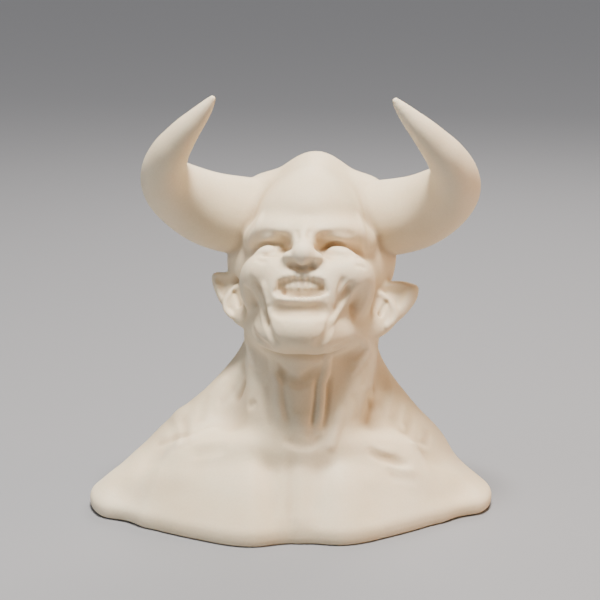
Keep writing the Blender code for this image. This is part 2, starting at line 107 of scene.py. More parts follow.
# The least squared length and the least slope to divide by, and how near the ground, in metres, a
# corner counts as on it
LEAST_SQUARE = 1e-9
LEAST_SLOPE = 1e-6
GROUND_SNAP = 1e-6

# The camera, in metres and degrees. The lens and the shift frame the bust as the photo does.
AIM = (0, -0.003, 0.072)
VIEW_AROUND = -3.0
VIEW_ABOVE = 13.0
VIEW_DISTANCE = 0.6
SENSOR = 0.036
LENS = 0.108
PHOTO_PIXELS = 600
SHIFT_PIXELS = (8, 3)
CLIP_START = 0.01
CLIP_END = 20
MM_PER_METRE = 1000

# The studio: floor, room light, overhead light, and lamps with place, width, watts and colour
FLOOR_WIDTH = 16.0
FLOOR_COLOUR = (0.22, 0.22, 0.232)
FLOOR_ROUGHNESS = 0.8
ROOM_COLOUR = (0.92, 0.87, 0.82)
ROOM_LIGHT = 0.07
OVERHEAD_POWER = 2.6
OVERHEAD_WIDTH = 24.0
OVERHEAD_LEAN = 14.0
LAMPS = (
    ("key", (0.00, -0.22, 0.88), 0.20, 17.0, (1.0, 0.955, 0.88)),
    ("cool_side", (-0.75, -0.35, 0.30), 0.40, 2.0, (0.80, 0.89, 1.0)),
    ("warm_side", (0.62, -0.16, 0.16), 0.25, 2.2, (1.0, 0.62, 0.34)),
    ("back", (0.20, 0.60, 0.60), 0.40, 4.0, (1.0, 0.94, 0.88)),
)

# The resin: its shine, and the light under its skin, with its reach in metres and the share of that
# which red, green and blue light have
SHINE = 0.38
GLOW = 0.18
GLOW_REACH = 0.0014
GLOW_COLOURS = (1.0, 0.62, 0.40)

# The resin's noises, each with its scale per metre, detail and roughness
CLOUD_NOISE = (38, 5, 0.5)
GRAIN_NOISE = (1500, 3, 0.6)
MATT_NOISE = (60, 4, 0.5)
PORE_NOISE = (900, 6, 0.65)

# The resin's colours: clouds in it, its grain and how much that shows, painted shade in hollows, and a
# painted highlight on ridges. Each stop of a ramp is a place on it and a colour.
CLOUDS = ((0.32, (0.71, 0.57, 0.37)), (0.5, (0.75, 0.61, 0.41)), (0.7, (0.78, 0.655, 0.47)))
GRAIN = ((0.3, (0.90, 0.885, 0.86)), (0.62, (1, 1, 1)))
GRAIN_SHARE = 0.5
PAINTED_SHADE_COLOUR = (0.44, 0.34, 0.255, 1)
PAINTED_SHADE_RAMP = ((0.22, (1, 1, 1)), (0.488, (0, 0, 0)))
PAINTED_HIGHLIGHT_COLOUR = (0.10, 0.095, 0.085, 1)
PAINTED_HIGHLIGHT_RAMP = ((0.52, (0, 0, 0)), (0.75, (1, 1, 1)))
ROUGHNESS = (0.5, 0.66)
PORE_STRENGTH = 0.22
PORE_DEPTH = 0.00025

# The mesh attribute that the painted shade in hollows and the painted highlight on ridges go by. It
# compares a point with the skin around it, within each of these reaches in figure units, and weighs
# the results by the numbers beside them.
RELIEF = "relief"
RELIEF_REACHES = ((2.2, 1.0), (6.6, 0.7))

# The colour sockets of a Mix node, by number, because several of its sockets share each name
FIRST_COLOUR, SECOND_COLOUR, MIXED_COLOUR = 6, 7, 2


class Frame:
    """A place on the figure with axes of its own: x across, y to the back and z up.

    It is turned in degrees, about y first, then about x and last about z.
    """

    def __init__(self, origin, turn=(0, 0, 0), parent=None):
        about_x, about_y, about_z = (math.radians(a) for a in turn)
        cx, sx = math.cos(about_x), math.sin(about_x)
        cy, sy = math.cos(about_y), math.sin(about_y)
        cz, sz = math.cos(about_z), math.sin(about_z)
        spin_x = np.array([[1, 0, 0], [0, cx, -sx], [0, sx, cx]])
        spin_y = np.array([[cy, 0, sy], [0, 1, 0], [-sy, 0, cy]])
        spin_z = np.array([[cz, -sz, 0], [sz, cz, 0], [0, 0, 1]])
        self.matrix = spin_z @ spin_x @ spin_y
        self.origin = np.array(origin, float)
        if parent is not None:
            self.origin = parent.out(self.origin)[0]
            self.matrix = parent.matrix @ self.matrix

    def out(self, points):
        """These points of the frame, in the figure's own coordinates."""
        return np.atleast_2d(points) @ self.matrix.T + self.origin

    def into(self, grid):
        """A block of the grid, in the frame's coordinates."""
        offset = [axis - start for axis, start in zip(grid, self.origin)]
        return [sum(float(self.matrix[i, j]) * offset[i] for i in range(3)) for j in range(3)]


WHOLE = Frame((0, 0, 0))
SEEN = Frame((0, 0, HEAD_PLACE[2]), (-VIEW_ABOVE, 0, VIEW_AROUND))
BEHIND = Frame((0, 0, 0), (0, 0, 180))


def merge(a, b, soft):
    """The nearer of two distances, rounded over where they are closer than soft to each other."""
    near = np.maximum(soft - np.abs(a - b), 0)
    return np.minimum(a, b) - near * near / (4 * soft)


def flowing(points, pieces=8):
    """A smooth path through these rows of numbers, which may carry radii after x, y and z."""
    points = np.asarray(points, float)
    ends = [2 * points[0] - points[1], 2 * points[-1] - points[-2]]
    knots = np.vstack([ends[0], points, ends[1]])
    path = []
    for before, start, end, after in zip(knots, knots[1:], knots[2:], knots[3:]):
        for step in range(pieces):
            t = step / pieces
            path.append(
                0.5 * (2 * start + (end - before) * t
                       + (2 * before - 5 * start + 4 * end - after) * t**2
                       + (3 * start - before - 3 * end + after) * t**3)
            )
    return np.array([*path, points[-1]])


def nearest_on(start, end, place):
    """How far along a straight line the point nearest to each place is, and its distance squared."""
    away = [axis - first for axis, first in zip(place, start)]
    along = end[:3] - start[:3]
    square = max(along @ along, LEAST_SQUARE)
    t = np.clip(sum(p * c for p, c in zip(away, along)) / square, 0, 1)
    return t, sum((p - t * c) ** 2 for p, c in zip(away, along))


def edge_of(outline, u, v):
    """The distance in a plane from u and v to this closed outline, negative inside it."""
    gap = np.full(np.broadcast_shapes(u.shape, v.shape), FAR * FAR, np.float32)
    inside = np.zeros(gap.shape, bool)
    for a, b in zip(outline, outline[1:]):
        along = b - a
        square = max(along @ along, LEAST_SQUARE)
        t = np.clip(((u - a[0]) * along[0] + (v - a[1]) * along[1]) / square, 0, 1)
        gap = np.minimum(gap, (u - a[0] - t * along[0]) ** 2 + (v - a[1] - t * along[1]) ** 2)
        if a[1] != b[1]:
            crosses = (a[1] > v) != (b[1] > v)
            inside ^= crosses & (u < a[0] + (v - a[1]) * along[0] / along[1])
    return np.where(inside, -1, 1) * np.sqrt(gap)


def inner_block(cut, whole):
    """A block of the grid, counted from the start of the larger block that holds it."""
    return tuple(slice(c.start - w.start, c.stop - w.start) for c, w in zip(cut, whole))


class Clay:
    """A grid of signed distances to the figure's surface, in figure units, negative inside."""

    def __init__(self, low, high, step):
        self.step = step
        self.axes = [np.arange(a, b + step, step, dtype=np.float32) for a, b in zip(low, high)]
        self.field = np.full([len(axis) for axis in self.axes], FAR, np.float32)

    def window(self, points, reach):
        """The block of the grid within reach of these points, and its coordinates."""
        low, high = np.min(points, axis=0) - reach, np.max(points, axis=0) + reach
        cut = tuple(
            slice(int(np.searchsorted(axis, a)), int(np.searchsorted(axis, b)))
            for axis, a, b in zip(self.axes, low, high)
        )
        x, y, z = (axis[block] for axis, block in zip(self.axes, cut))
        return cut, (x[:, None, None], y[None, :, None], z[None, None, :])

    def lay(self, cut, distance, soft, sign):
        """Adds a form to the clay, or takes it away where sign is -1."""
        self.field[cut] = sign * merge(sign * self.field[cut], distance, soft)

    def ball(self, centre, radii, soft=3.0, turn=(0, 0, 0), frame=WHOLE, sign=1):
        """A ball or an egg of clay."""
        own = Frame(centre, turn, frame)
        radii = np.broadcast_to(np.asarray(radii, float), 3)
        cut, grid = self.window(own.out([(0, 0, 0)]), float(radii.max()) + soft + 2 * self.step)
        x, y, z = own.into(grid)
        near = np.sqrt((x / radii[0]) ** 2 + (y / radii[1]) ** 2 + (z / radii[2]) ** 2)
        slope = np.sqrt(
            (x / radii[0] ** 2) ** 2 + (y / radii[1] ** 2) ** 2 + (z / radii[2] ** 2) ** 2
        )
        self.lay(cut, near * (near - 1) / np.maximum(slope, LEAST_SLOPE), soft, sign)

    def roll(self, path, soft=3.0, frame=WHOLE, sign=1):
        """A roll of clay along rows of x, y, z and radius."""
        path = flowing(path)
        whole, _ = self.window(frame.out(path[:, :3]), path[:, 3].max() + soft + 2 * self.step)
        roll = np.full(self.field[whole].shape, FAR, np.float32)
        for a, b in zip(path, path[1:]):
            reach = max(a[3], b[3]) + soft + 2 * self.step
            cut, grid = self.window(frame.out([a[:3], b[:3]]), reach)
            t, gap = nearest_on(a, b, frame.into(grid))
            distance = np.sqrt(gap) - (a[3] + t * (b[3] - a[3]))
            inner = inner_block(cut, whole)
            roll[inner] = np.minimum(roll[inner], distance)
        self.lay(whole, roll, soft, sign)

    def slope(self, outline, slant, foot, top, soft, blend):
        """A hill with this outline at its foot, which draws in by slant times its height.

        Soft is how far its sides and its top are rounded, and blend is how far it runs into the clay
        that is there already.
        """
        outline = flowing([*outline, outline[0]])
        edge = edge_of(outline, self.axes[0][:, None], self.axes[1][None, :])
        rounds = round(2 * (soft / 2 / self.step) ** 2)
        for _ in range(rounds):
            edge[1:-1] = (edge[:-2] + 2 * edge[1:-1] + edge[2:]) / 4
            edge[:, 1:-1] = (edge[:, :-2] + 2 * edge[:, 1:-1] + edge[:, 2:]) / 4
        rise = np.maximum(self.axes[2] - foot, 0)[None, None, :]
        sides = (edge[:, :, None] + slant * rise) / math.sqrt(1 + slant**2)
        lid = np.broadcast_to((self.axes[2] - top)[None, None, :], sides.shape)
        self.field = merge(self.field, -merge(-sides, -lid, HILL_ROUNDING * soft), blend)

    def touch(self, frame, x, z):
        """Where a needle pushed along the frame's y, from the front, meets the clay."""
        depth = np.arange(-NEEDLE_REACH, NEEDLE_REACH, self.step / 2)
        needle = frame.out(np.stack([np.full_like(depth, x), depth, np.full_like(depth, z)], axis=1))
        index = [
            np.clip(np.round((needle[:, i] - axis[0]) / self.step).astype(int), 0, len(axis) - 1)
            for i, axis in enumerate(self.axes)
        ]
        value = self.field[tuple(index)]
        inside = np.nonzero(value < 0)[0]
        if not len(inside):
            return 0.0
        first = max(inside[0], 1)
        share = value[first - 1] / max(value[first - 1] - value[first], LEAST_SLOPE)
        return float(depth[first - 1] + share * (depth[first] - depth[first - 1]))

    def stroke(self, marks, width, depth, frame=WHOLE, sharp=False):
        """Presses the skin in by depth along a line that fades out towards its two ends.

        Marks are x and z as seen from the frame's front, and the line is laid onto the clay there.
        A depth below zero raises the skin. A sharp line has a crisp crease along its middle.
        """
        path = np.array([(x, self.touch(frame, x, z), z) for x, z in flowing(marks)])
        for _ in range(LINE_ROUNDS):
            path[1:-1, 1] = (path[:-2, 1] + 2 * path[1:-1, 1] + path[2:, 1]) / 4
        share = np.linspace(0, 1, len(path))
        strength = np.clip(np.minimum(share, 1 - share) / LINE_FADE, 0, 1)
        strength = strength * strength * (3 - 2 * strength)
        whole, _ = self.window(frame.out(path), width + self.step)
        nearest = np.full(self.field[whole].shape, width, np.float32)
        power = np.zeros(nearest.shape, np.float32)
        for a, b, f, g in zip(path, path[1:], strength, strength[1:]):
            cut, grid = self.window(frame.out([a, b]), width + self.step)
            t, gap = nearest_on(a, b, frame.into(grid))
            gap = np.sqrt(gap)
            inner = inner_block(cut, whole)
            closer = gap < nearest[inner]
            nearest[inner] = np.where(closer, gap, nearest[inner])
            power[inner] = np.where(closer, f + t * (g - f), power[inner])
        fall = 1 - nearest / width
        self.field[whole] += depth * power * (fall**2 if sharp else (fall * (2 - fall)) ** 2)

    def dab(self, x, z, size, depth, frame=WHOLE, y=None):
        """Presses a soft round hollow into the skin, or raises a bump where depth is below zero."""
        centre = (x, self.touch(frame, x, z) if y is None else y, z)
        cut, grid = self.window(frame.out([centre]), size + self.step)
        gap = np.sqrt(sum((axis - middle) ** 2 for axis, middle in zip(frame.into(grid), centre)))
        fall = np.clip(1 - gap / size, 0, 1)
        self.field[cut] += depth * (fall * (2 - fall)) ** 2

    def plate(self, outline, middle, lean, thick, soft, frame, sign=1):
        """A plate with this outline of x and z. Its mid plane is at y = middle, and leans by x."""
        outline = flowing([*outline, outline[0]], 4)
        corners = [(x, middle + lean * x, z) for x, z in outline]
        cut, grid = self.window(frame.out(corners), thick + soft + 2 * self.step)
        x, y, z = frame.into(grid)
        edge = edge_of(outline, x, z)
        face = (np.abs(y - middle - lean * x) - thick) / math.sqrt(1 + lean**2)
        self.lay(cut, -merge(-edge, -face, PLATE_ROUNDING * thick), soft, sign)

    def stand_on_rim(self, rim, edge):
        """Runs the outline at the rim's height straight down, and rounds the edge below."""
        heights = self.axes[2]
        lifted = np.maximum(heights, rim)
        lifted = lifted + np.maximum(edge / 2 - np.abs(heights - rim), 0) ** 2 / (2 * edge)
        place = (lifted - heights[0]) / self.step
        low = np.clip(np.floor(place).astype(int), 0, len(heights) - 2)
        share = (place - low).astype(np.float32)
        self.field = self.field[:, :, low] * (1 - share) + self.field[:, :, low + 1] * share
        ground = -heights[None, None, :] - RIM_SUNK * edge
        self.field = -merge(-self.field, -ground, edge)


def skull(clay, head):
    """The cranium with its low pointed crown, and the block of the face."""
    clay.ball((0, 6, 21), (28, 26, 29.8), 6, frame=head)
    clay.roll([(0, -16, 36.2, 5), (0, -4, 44.2, 5), (0, 6, 47.2, 4.5), (0, 16, 44.2, 5)], 10, head)
    clay.ball((0, -12, 24), (15, 14.5, 14), 7, frame=head)
    clay.ball((0, -11, 2), (17, 16, 15.5), 8, frame=head)
    for side in SIDES:
        clay.ball((17 * side, 3, 36.4), (8.5, 12, 8), 5, frame=head)
        clay.ball((17.6 * side - 2, 7, 14), (8.8, 12, 12), 6, frame=head)


def horns(clay, head):
    """Two bull's horns: out of the temples, round to the front and up to a blunt point."""
    # Along a horn: x, y, z and the radius as a share of the root's, but at the end the tip's own
    route = (
        (13, 0, 28.7, 1.03), (24.6, -3, 28.7, 1.04), (34, -7, 29.3, 1.0), (41.2, -14, 30.7, 0.90),
        (45.8, -22.5, 32.3, 0.755), (46.6, -31, 34.8, 0.61), (44.4, -38, 38.0, 0.51),
        (41.3, -42.4, 40.8, 0.43), (37.9, -46, 43.6, 0.35), (34.2, -48.8, 46.5, 0.265),
        (31, -51.2, 49.2, 0.175), (28.9, -52.8, 51.2, None),
    )
    root, tip = HORN_ROOT_RADIUS / UNIT, HORN_TIP_RADIUS / UNIT
    root_row, elbow_row = 1, 4

    def nearness(row, other):
        """How near a row of the route is to another one, from 0 to 1."""
        return math.exp(-(((row - other) / 2) ** 2))

    # How each horn departs from the route: its side, bow, elbow, root's swell and lift, elbow's rise
    sway = ((-1, -0.7, 0.8, 0.045, -0.1, 0.2), (1, 0.0, 0.9, 0.01, 0.1, 0.7))
    for side, bow, elbow, swell, lift, rise in sway:
        path = []
        for n, (x, y, z, share) in enumerate(route):
            turn = nearness(n, elbow_row)
            base = nearness(n, root_row)
            out = x + bow * math.sin(math.pi * n / (len(route) - 1)) + elbow * turn
            radius = tip if share is None else root * (share + swell * base)
            path.append((side * out, y, z + lift * base + rise * turn, radius))
        clay.roll(path, 1.2, head)


def face(clay, head):
    """Jaw and chin, cheeks pushed up in a laugh, squinting eyes, lowered brows and a broad nose."""
    # The front of the jaws and the forehead, then the chin
    clay.ball((0, -19, -6), (12.5, 13, 12), 6, frame=head)
    clay.ball((0, -18.5, 24), (14, 10.8, 11), 7, frame=head)
    chin = [(-8.4, -13), (-8.6, -16.4), (-7.2, -19.6), (-4, -21.4), (0, -21.8), (4, -21.4),
            (7.2, -19.4), (8.6, -16.4), (8.4, -13), (0, -12)]
    clay.plate(chin, -26.4, 0, 4.8, 5, head)
    clay.ball((0.2, -24.2, -16.6), (8.2, 8.2, 6.4), 3, frame=head)
    # At each side the edge of the jaw, the brow, three balls of the cheek, the eye socket and the lids
    for side in SIDES:
        clay.roll([(6.5 * side, -22, -17.6, 4.4), (11.5 * side, -14, -14.4, 4.8),
                   (15 * side, -2, -9, 5.5)], 5, head)
        clay.roll([(1.5 * side, -27.0, 14.4, 3.9), (8 * side, -26.2, 16.0, 4.0),
                   (13.5 * side, -21.4, 17.6, 3.8), (17.5 * side, -13, 18.0, 3.8)], 4.5, head)
        clay.ball((12.9 * side + 0.7, -21.4, 3.4), (8.0, 8.2, 7.2), 3.5, (0, 14 * side, -18 * side), head)
        clay.ball((17 * side, -12, 2), (5.2, 9, 8), 5, frame=head)
        clay.ball((8 * side, -25.4, 2), (5, 5.4, 5), 4, frame=head)
        clay.ball((10.0 * side, -30.3, 11.1), (7.4, 5.6, 2.8), 1.7, (0, 14 * side, 14 * side), head, -1)
        clay.ball((11.2 * side, -23.9, 9.5), (4.9, 3.9, 2.6), 1.4, (0, 14 * side, -20 * side), head)
    # The bridge of the nose, its wings and its nostrils
    clay.roll([(0, -28.6, 14.2, 3.5), (0, -30.6, 11, 3.3), (0.2, -32.6, 8.2, 3.4),
               (0.4, -33.8, 6.6, 3.6)], 2.2, head)
    for side in SIDES:
        clay.ball((4.2 * side, -30.6, 5.6), (2.5, 3.8, 2.3), 2.2, frame=head)
        clay.ball((3.4 * side, -33.0, 2.6), (1.7, 2.8, 1.5), 1.4, frame=head, sign=-1)


def mouth(clay, head):
    """A wide grin: the lips, and two rows of clenched teeth inside it."""
    # The muzzle, the opening cut into it, the teeth as one ball, the lower lip and the hollow under it
    clay.ball((0, -24.4, -3.4), (12.4, 8.0, 8), 4, frame=head)
    opening = [(-10.4, -4.6), (-9.8, -2.6), (-8, -0.5), (-4.4, 0.2), (0, 0.3), (4.4, 0.2), (8, -0.5),
               (9.8, -2.6), (10.6, -4.6), (9.2, -7.0), (5, -8.0), (0, -8.2), (-5, -8.0), (-9.2, -7.0)]
    clay.plate(opening, -34, 0, 6.4, 0.8, head, -1)
    clay.ball((0, -20.5, -3.2), (10.8, 10.4, 7.4), 0.5, frame=head)
    lip = [(-9.8, -26.0, -5.2, 0.7), (-7.4, -28.6, -7.7, 0.95), (-3.6, -30.6, -8.6, 1.1),
           (0, -31.2, -8.8, 1.1), (3.6, -30.6, -8.6, 1.1), (7.4, -28.6, -7.7, 0.95),
           (9.8, -26.0, -5.2, 0.7)]
    clay.roll(lip, 1.2, head)
    clay.stroke([(-7.6, -0.6), (-5, -1.6), (-1.4, -2.1), (3.5, -2.2), (8, -1.7),
                 (11, -0.4)], 4.0, 1.7, SEEN)
    # The gaps of the upper teeth, each with its height at the gum, and the gaps of the lower teeth
    gaps = [(-4.6, 5.6), (-3.2, 6.4), (-1.6, 6.8), (0.2, 7.0), (2.6, 7.1), (4.7, 7.0), (6.4, 6.6),
            (7.9, 6.0), (9.1, 5.4)]
    for x, top in gaps:
        clay.stroke([(x, top + 2.6), (x, top), (x, 4.6), (x, 3.0)], 1.0, 1.15, SEEN, True)
    first_gap = -3.0
    tooth_width = 1.4
    for n in range(9):
        x = first_gap + tooth_width * n
        clay.stroke([(x, 5.0), (x, 4), (x, 2.2), (x, 0.8)], 0.9, 0.7, SEEN, True)
    # The line between the two rows, the lower row set back, and the line between it and the lip
    clay.stroke([(-6.2, 4.9), (-4.2, 4.1), (-1.4, 3.8), (2.8, 3.7), (7.0, 3.9), (9.1, 4.6),
                 (10.8, 5.4)], 1.1, 0.6, SEEN, True)
    clay.stroke([(-5.6, 3.6), (-1.4, 3.0), (2.8, 2.9), (7, 3.1), (9.8, 4.0)], 2.2, 0.8, SEEN)
    clay.stroke([(-7, 3.4), (-5.4, 2.6), (-1.4, 2.1), (2.8, 2.0), (7, 2.3), (9.8, 3.1),
                 (11.4, 4.2)], 1.3, 1.1, SEEN, True)


def ears(clay, head):
    """Pointed ears that stand out to the sides, cupped to the front, each with its own outline."""
    right = [(-19, 8), (-24, 9.6), (-29.2, 10.3), (-32.4, 10.4), (-33.8, 9.8), (-34.2, 8.4),
             (-33.8, 6), (-32.5, 2.8), (-30.9, -0.2), (-28.3, -3.1), (-27.4, -3.6), (-25.8, -6.8),
             (-24, -8), (-21.4, -8.2), (-18.5, -6)]
    left = [(18, 6), (24, 8), (30, 8.7), (34.2, 8.0), (36, 7.0), (36.3, 5.4), (35.4, 1.7),
            (32.4, -2.8), (29.2, -6.2), (27.3, -8.6), (24.6, -10.8), (21, -11.2), (18, -9.5)]
    front = -2.9
    thick = 1.9
    for side, outline, drop in ((-1, right, 0), (1, left, 2.2)):
        own = Frame((0, 0, -drop), parent=head)
        lean = EAR_LEAN * side
        clay.plate(outline, front + thick, lean, thick, 1.5, head)
        clay.ball((20.5 * side, 1, -4.6), (4.2, 3.4, 4.8), 2, frame=own)
        cup = [(side * x, z - drop) for x, z in
               ((22.6, 5.4), (24.6, 8.0), (28.4, 8.9), (31.6, 8.8), (32.9, 7.6), (32.5, 5.4),
                (31.2, 2.4), (29.4, 0.2), (28.0, 2.0), (26.0, 4.2))]
        clay.plate(cup, front - 0.8, lean, 3.0, 1.0, head, -1)

        def along(marks, radius, sink):
            """A path over the ear's face, sunk into it by this much."""
            return [(side * x, front + EAR_LEAN * x + sink, z, radius) for x, z in marks]

        # The fold inside the ear's rim, the groove beside it and the ear's front edge
        clay.roll(along([(21.6, 6.2), (25.0, 4.4), (27.4, 1.8), (28.6, -0.8), (28.2, -3.4),
                         (26.2, -5.6)], 0.9, 0.2), 1.0, own)
        clay.roll(along([(25.6, 2.4), (24.4, 0.2), (23.2, -2.4)], 0.75, -0.1), 0.7, own, -1)
        clay.roll(along([(19.6, 3.4), (20.2, 0), (20.4, -4), (19.8, -8.4)], 1.2, -0.2), 1.5, own)


def torso(clay):
    """The chest and back cut off at the breast, the stumps of the arms and the shoulders."""
    foot = RIM_HEIGHT / UNIT
    chest = [(0, -34.6), (3.5, -35.4), (8, -37), (13.5, -38.3), (18.5, -37.6), (24, -35.4),
             (30, -31.8), (38, -26.7), (46, -20.8), (52, -14.8), (54, 4), (51, 18), (40, 26), (22, 29),
             (0, 28)]
    chest += [(-x, y) for x, y in reversed(chest[1:-1])]
    clay.slope([(x - 1, y) for x, y in chest], 0.62, foot, 33, 3, 3)
    # At each side the stump of the arm, the shoulder's muscle, its front edge and the shoulder blade
    stump = [(40, -12), (54.5, -11.8), (60, -11.2), (64.5, -9.2), (67.8, -4), (69.6, 4), (68.6, 12),
             (63, 20), (52, 24), (40, 22), (34, 4)]
    for side, low in ((-1, 0), (1, 1)):
        clay.slope([(side * (x - low), y - 1.2 * side) for x, y in stump], 1.1, foot, 18 - 2 * low,
                   2.2, 7.5)
        clay.ball((49 * side, 8, 2.5 - low), (15, 14, 13), 4)
        clay.roll([(36 * side, -12, 15, 4), (43 * side, -8, 11.5 - low, 4.5),
                   (50 * side, -2, 9.5 - low, 5)], 7)
        clay.ball((23 * side + 1.5, 18, 17), (17.5, 11, 17), 8)
    # The muscles that slope from the neck to the shoulders, the foot of the nape and the breastbone
    clay.roll([(-2.2, 13, 45, 12.4), (-10.3, 12, 37.7, 13.2), (-27.3, 12, 23.6, 13.4),
               (-35.5, 11, 16.5, 13.6), (-43, 10, 9.5, 13.2)], 5)
    clay.roll([(15, 13, 45, 12.8), (24, 12, 35.3, 13), (33.4, 12, 22.9, 13.5), (41, 11, 14.2, 13.9),
               (45, 10, 8.2, 12.4)], 5)
    clay.roll([(4, 16, 44, 15), (0, 14, 24, 20)], 8)
    clay.roll([(-0.6, -29.4, 7, 5), (-0.4, -22, 19.4, 6), (0.4, -16, 29, 6)], 6)


def neck(clay):
    """The bull neck: its core, the cords of the nape and the throat, and the collar bones."""
    clay.roll([(6.5, 5, 66, 19), (6, 5, 54, 19.2), (4.5, 5, 38, 20), (1, 4, 22, 23)], 6)
    for side in SIDES:
        clay.roll([(6.6 + 7.6 * side, 17, 76, 13.5), (6.8 + 8 * side, 16, 54, 13.8),
                   (3 + 12 * side, 14, 34, 15)], 8)
        clay.roll([(6.6 + 13 * side, -1, 60, 8.4), (5 + 12.2 * side, -5, 48, 8.7),
                   (2.5 + 9.5 * side, -11, 36, 8.5), (1 + 5 * side, -15.5, 28, 6)], 7)
    # The windpipe, and the throat's fullness under the chin
    clay.roll([(2, -5, 60, 12), (1.2, -8.5, 48, 12), (0.8, -11.4, 38, 10.5), (0.6, -14, 30, 9)], 6)
    clay.ball((2.4, -14.0, 66.5), (14.0, 11, 11), 6)
    for side in SIDES:
        clay.roll([(3.2 * side, -20.6, 27.4, 2.2), (13 * side, -18.4, 28.0, 2.2),
                   (24 * side, -14.0, 26, 2.6), (36 * side, -7.5, 22, 3.0)], 7)


def press(clay, lines):
    """Presses in or raises lines, each given by its marks as the photo shows them, width and depth."""
    for marks, width, depth in lines:
        clay.stroke(marks, width, depth, SEEN)


def laugh_folds(clay):
    """The folds that a laugh pushes into the cheeks, and those beside the chin and under the jaw."""
    press(clay, (
        # The cheek at the figure's own right: a fold with two ridges beside it
        ([(-15, 9.8), (-13, 6.9), (-11.4, 4.8), (-10.2, 2.4), (-9.3, -0.1), (-8.8, -2.5),
          (-8.8, -5.6)], 1.9, 1.1),
        ([(-10.2, 7.6), (-9.6, 5.4), (-8.9, 2.4), (-8.2, -0.4), (-7.7, -3.2), (-7.4, -6)], 1.7, -0.8),
        ([(-13.2, 5.4), (-12.2, 3.4), (-11.4, 1.7), (-10.6, -1.1), (-10.2, -5.0),
          (-9.5, -8.6)], 1.4, -0.6),
        # The cheek at its own left: a fold, a ridge and a second fold
        ([(19.4, 7.2), (17.2, 4.1), (15.4, 1.7), (14.0, -0.8), (13, -3.4)], 2.2, 1.3),
        ([(19, 4.4), (17.8, 2.2), (16.1, -0.1), (14.4, -2.5), (12.6, -5.3), (10.5, -8.9)], 1.6, -0.9),
        ([(16.2, 9.2), (15.1, 5.9), (14.4, 3.4), (13.4, 0)], 1.6, 0.7),
        # From the corners of the mouth round the chin, and under the jaw
        ([(-8.6, -3.5), (-8.4, -7), (-6.8, -11), (-3.6, -13.6)], 2.6, 0.8),
        ([(12.4, -4), (11.4, -8), (9.4, -11.6), (5.6, -13.8)], 2.6, 0.8),
        ([(-13.6, -12), (-10, -15.2), (-4, -17.2), (3.5, -17.8), (10.5, -17), (16.4, -15),
          (20.4, -12.4)], 3, 1.1),
        # Soft hollows outside the folds of the cheeks
        ([(-15.4, 6.0), (-14.9, 3.2), (-13.9, 0.6), (-12.8, -2.4)], 3.4, 0.8),
        ([(21.4, 6.4), (22.0, 3.6), (21.4, 1.0), (19.8, -1.6), (17.6, -4.2)], 4.2, 1.3),
    ))


def eye_slits(clay):
    """The curved slits of the shut eyes."""
    right = [(-11.8, 17.6), (-10.6, 18.6), (-9.5, 19.0), (-7.7, 19.2), (-6.3, 18.7), (-5.1, 17.6),
             (-3.9, 16.9), (-2.5, 17.0), (-1.0, 18.0)]
    left = [(6.4, 18.8), (8.0, 17.6), (9.8, 17.5), (11.2, 18.5), (13.0, 19.3), (14.7, 19.2),
            (16.5, 18.4), (18.2, 17)]
    for slit in (right, left):
        clay.stroke(slit, 1.5, 1.25, SEEN, True)


def neck_folds(clay):
    """The strands of the stretched neck, the knob of the windpipe and the pit of the collar bones."""
    press(clay, (
        # Beside the windpipe: two raised strands, with grooves along them
        ([(-8.2, -16), (-6.8, -20.4), (-5.6, -26.2), (-5.2, -32), (-4.2, -37),
          (-2.2, -42.6)], 2.6, -0.55),
        ([(-5.2, -18.4), (-3.6, -24), (-2.9, -30.8), (-2.3, -36.9), (-0.8, -41)], 2.0, 0.35),
        ([(-9.4, -24), (-9.0, -30), (-8.6, -36), (-7.0, -42)], 2.6, 0.45),
        ([(11.2, -14), (11.2, -19), (10.6, -23), (9.3, -27), (8.9, -33), (8.2, -38),
          (6.6, -43.6)], 2.0, -0.9),
        ([(8.6, -20), (7.4, -27), (6.9, -33), (6.2, -38), (5, -41.6)], 1.6, 0.6),
        ([(12.4, -22.6), (11.4, -27), (11, -33), (10.4, -38), (9.6, -43)], 1.8, 0.6),
        # The fold of the throat under the chin
        ([(-7.6, -19.6), (-4.4, -22.6), (-1.3, -24.7), (1.9, -25.6), (5.5, -23.6),
          (9.7, -20.0)], 3.2, 0.9),
    ))
    clay.dab(2.6, -39.6, 4.6, -0.8, SEEN)
    press(clay, (
        # The edge of the pit, and the cord that ends at it
        ([(-3.4, -43), (-1.6, -44.8), (1.6, -46), (5.4, -46), (8, -44.4), (9.4, -42)], 2.6, 0.7),
        ([(15.6, -33), (14.6, -39.2), (12.6, -45), (11.1, -49)], 2.6, -0.7),
        # Below the jaw, at the figure's own right
        ([(-16.6, -9), (-15.4, -13.4), (-14.4, -17.4), (-13.2, -22.6)], 2.2, -0.9),
        ([(-15.6, -25), (-17.0, -28), (-18.2, -30.6), (-20.4, -33.6)], 2.4, 0.9),
        # Below the jaw, and down the neck, at its own left
        ([(20.4, -9.6), (22.6, -12), (24.6, -14.6), (24.2, -17), (21.5, -19.2),
          (18.4, -21.1)], 2.0, -0.8),
        ([(25.4, -18), (22.8, -20.2), (20.4, -22.5), (17.2, -24.7)], 2.0, -0.5),
        ([(24.6, -26), (26, -29.8), (27.6, -34)], 2.6, -0.4),
        ([(24.2, -30), (25.5, -33), (26.9, -38)], 2.6, 0.3),
    ))


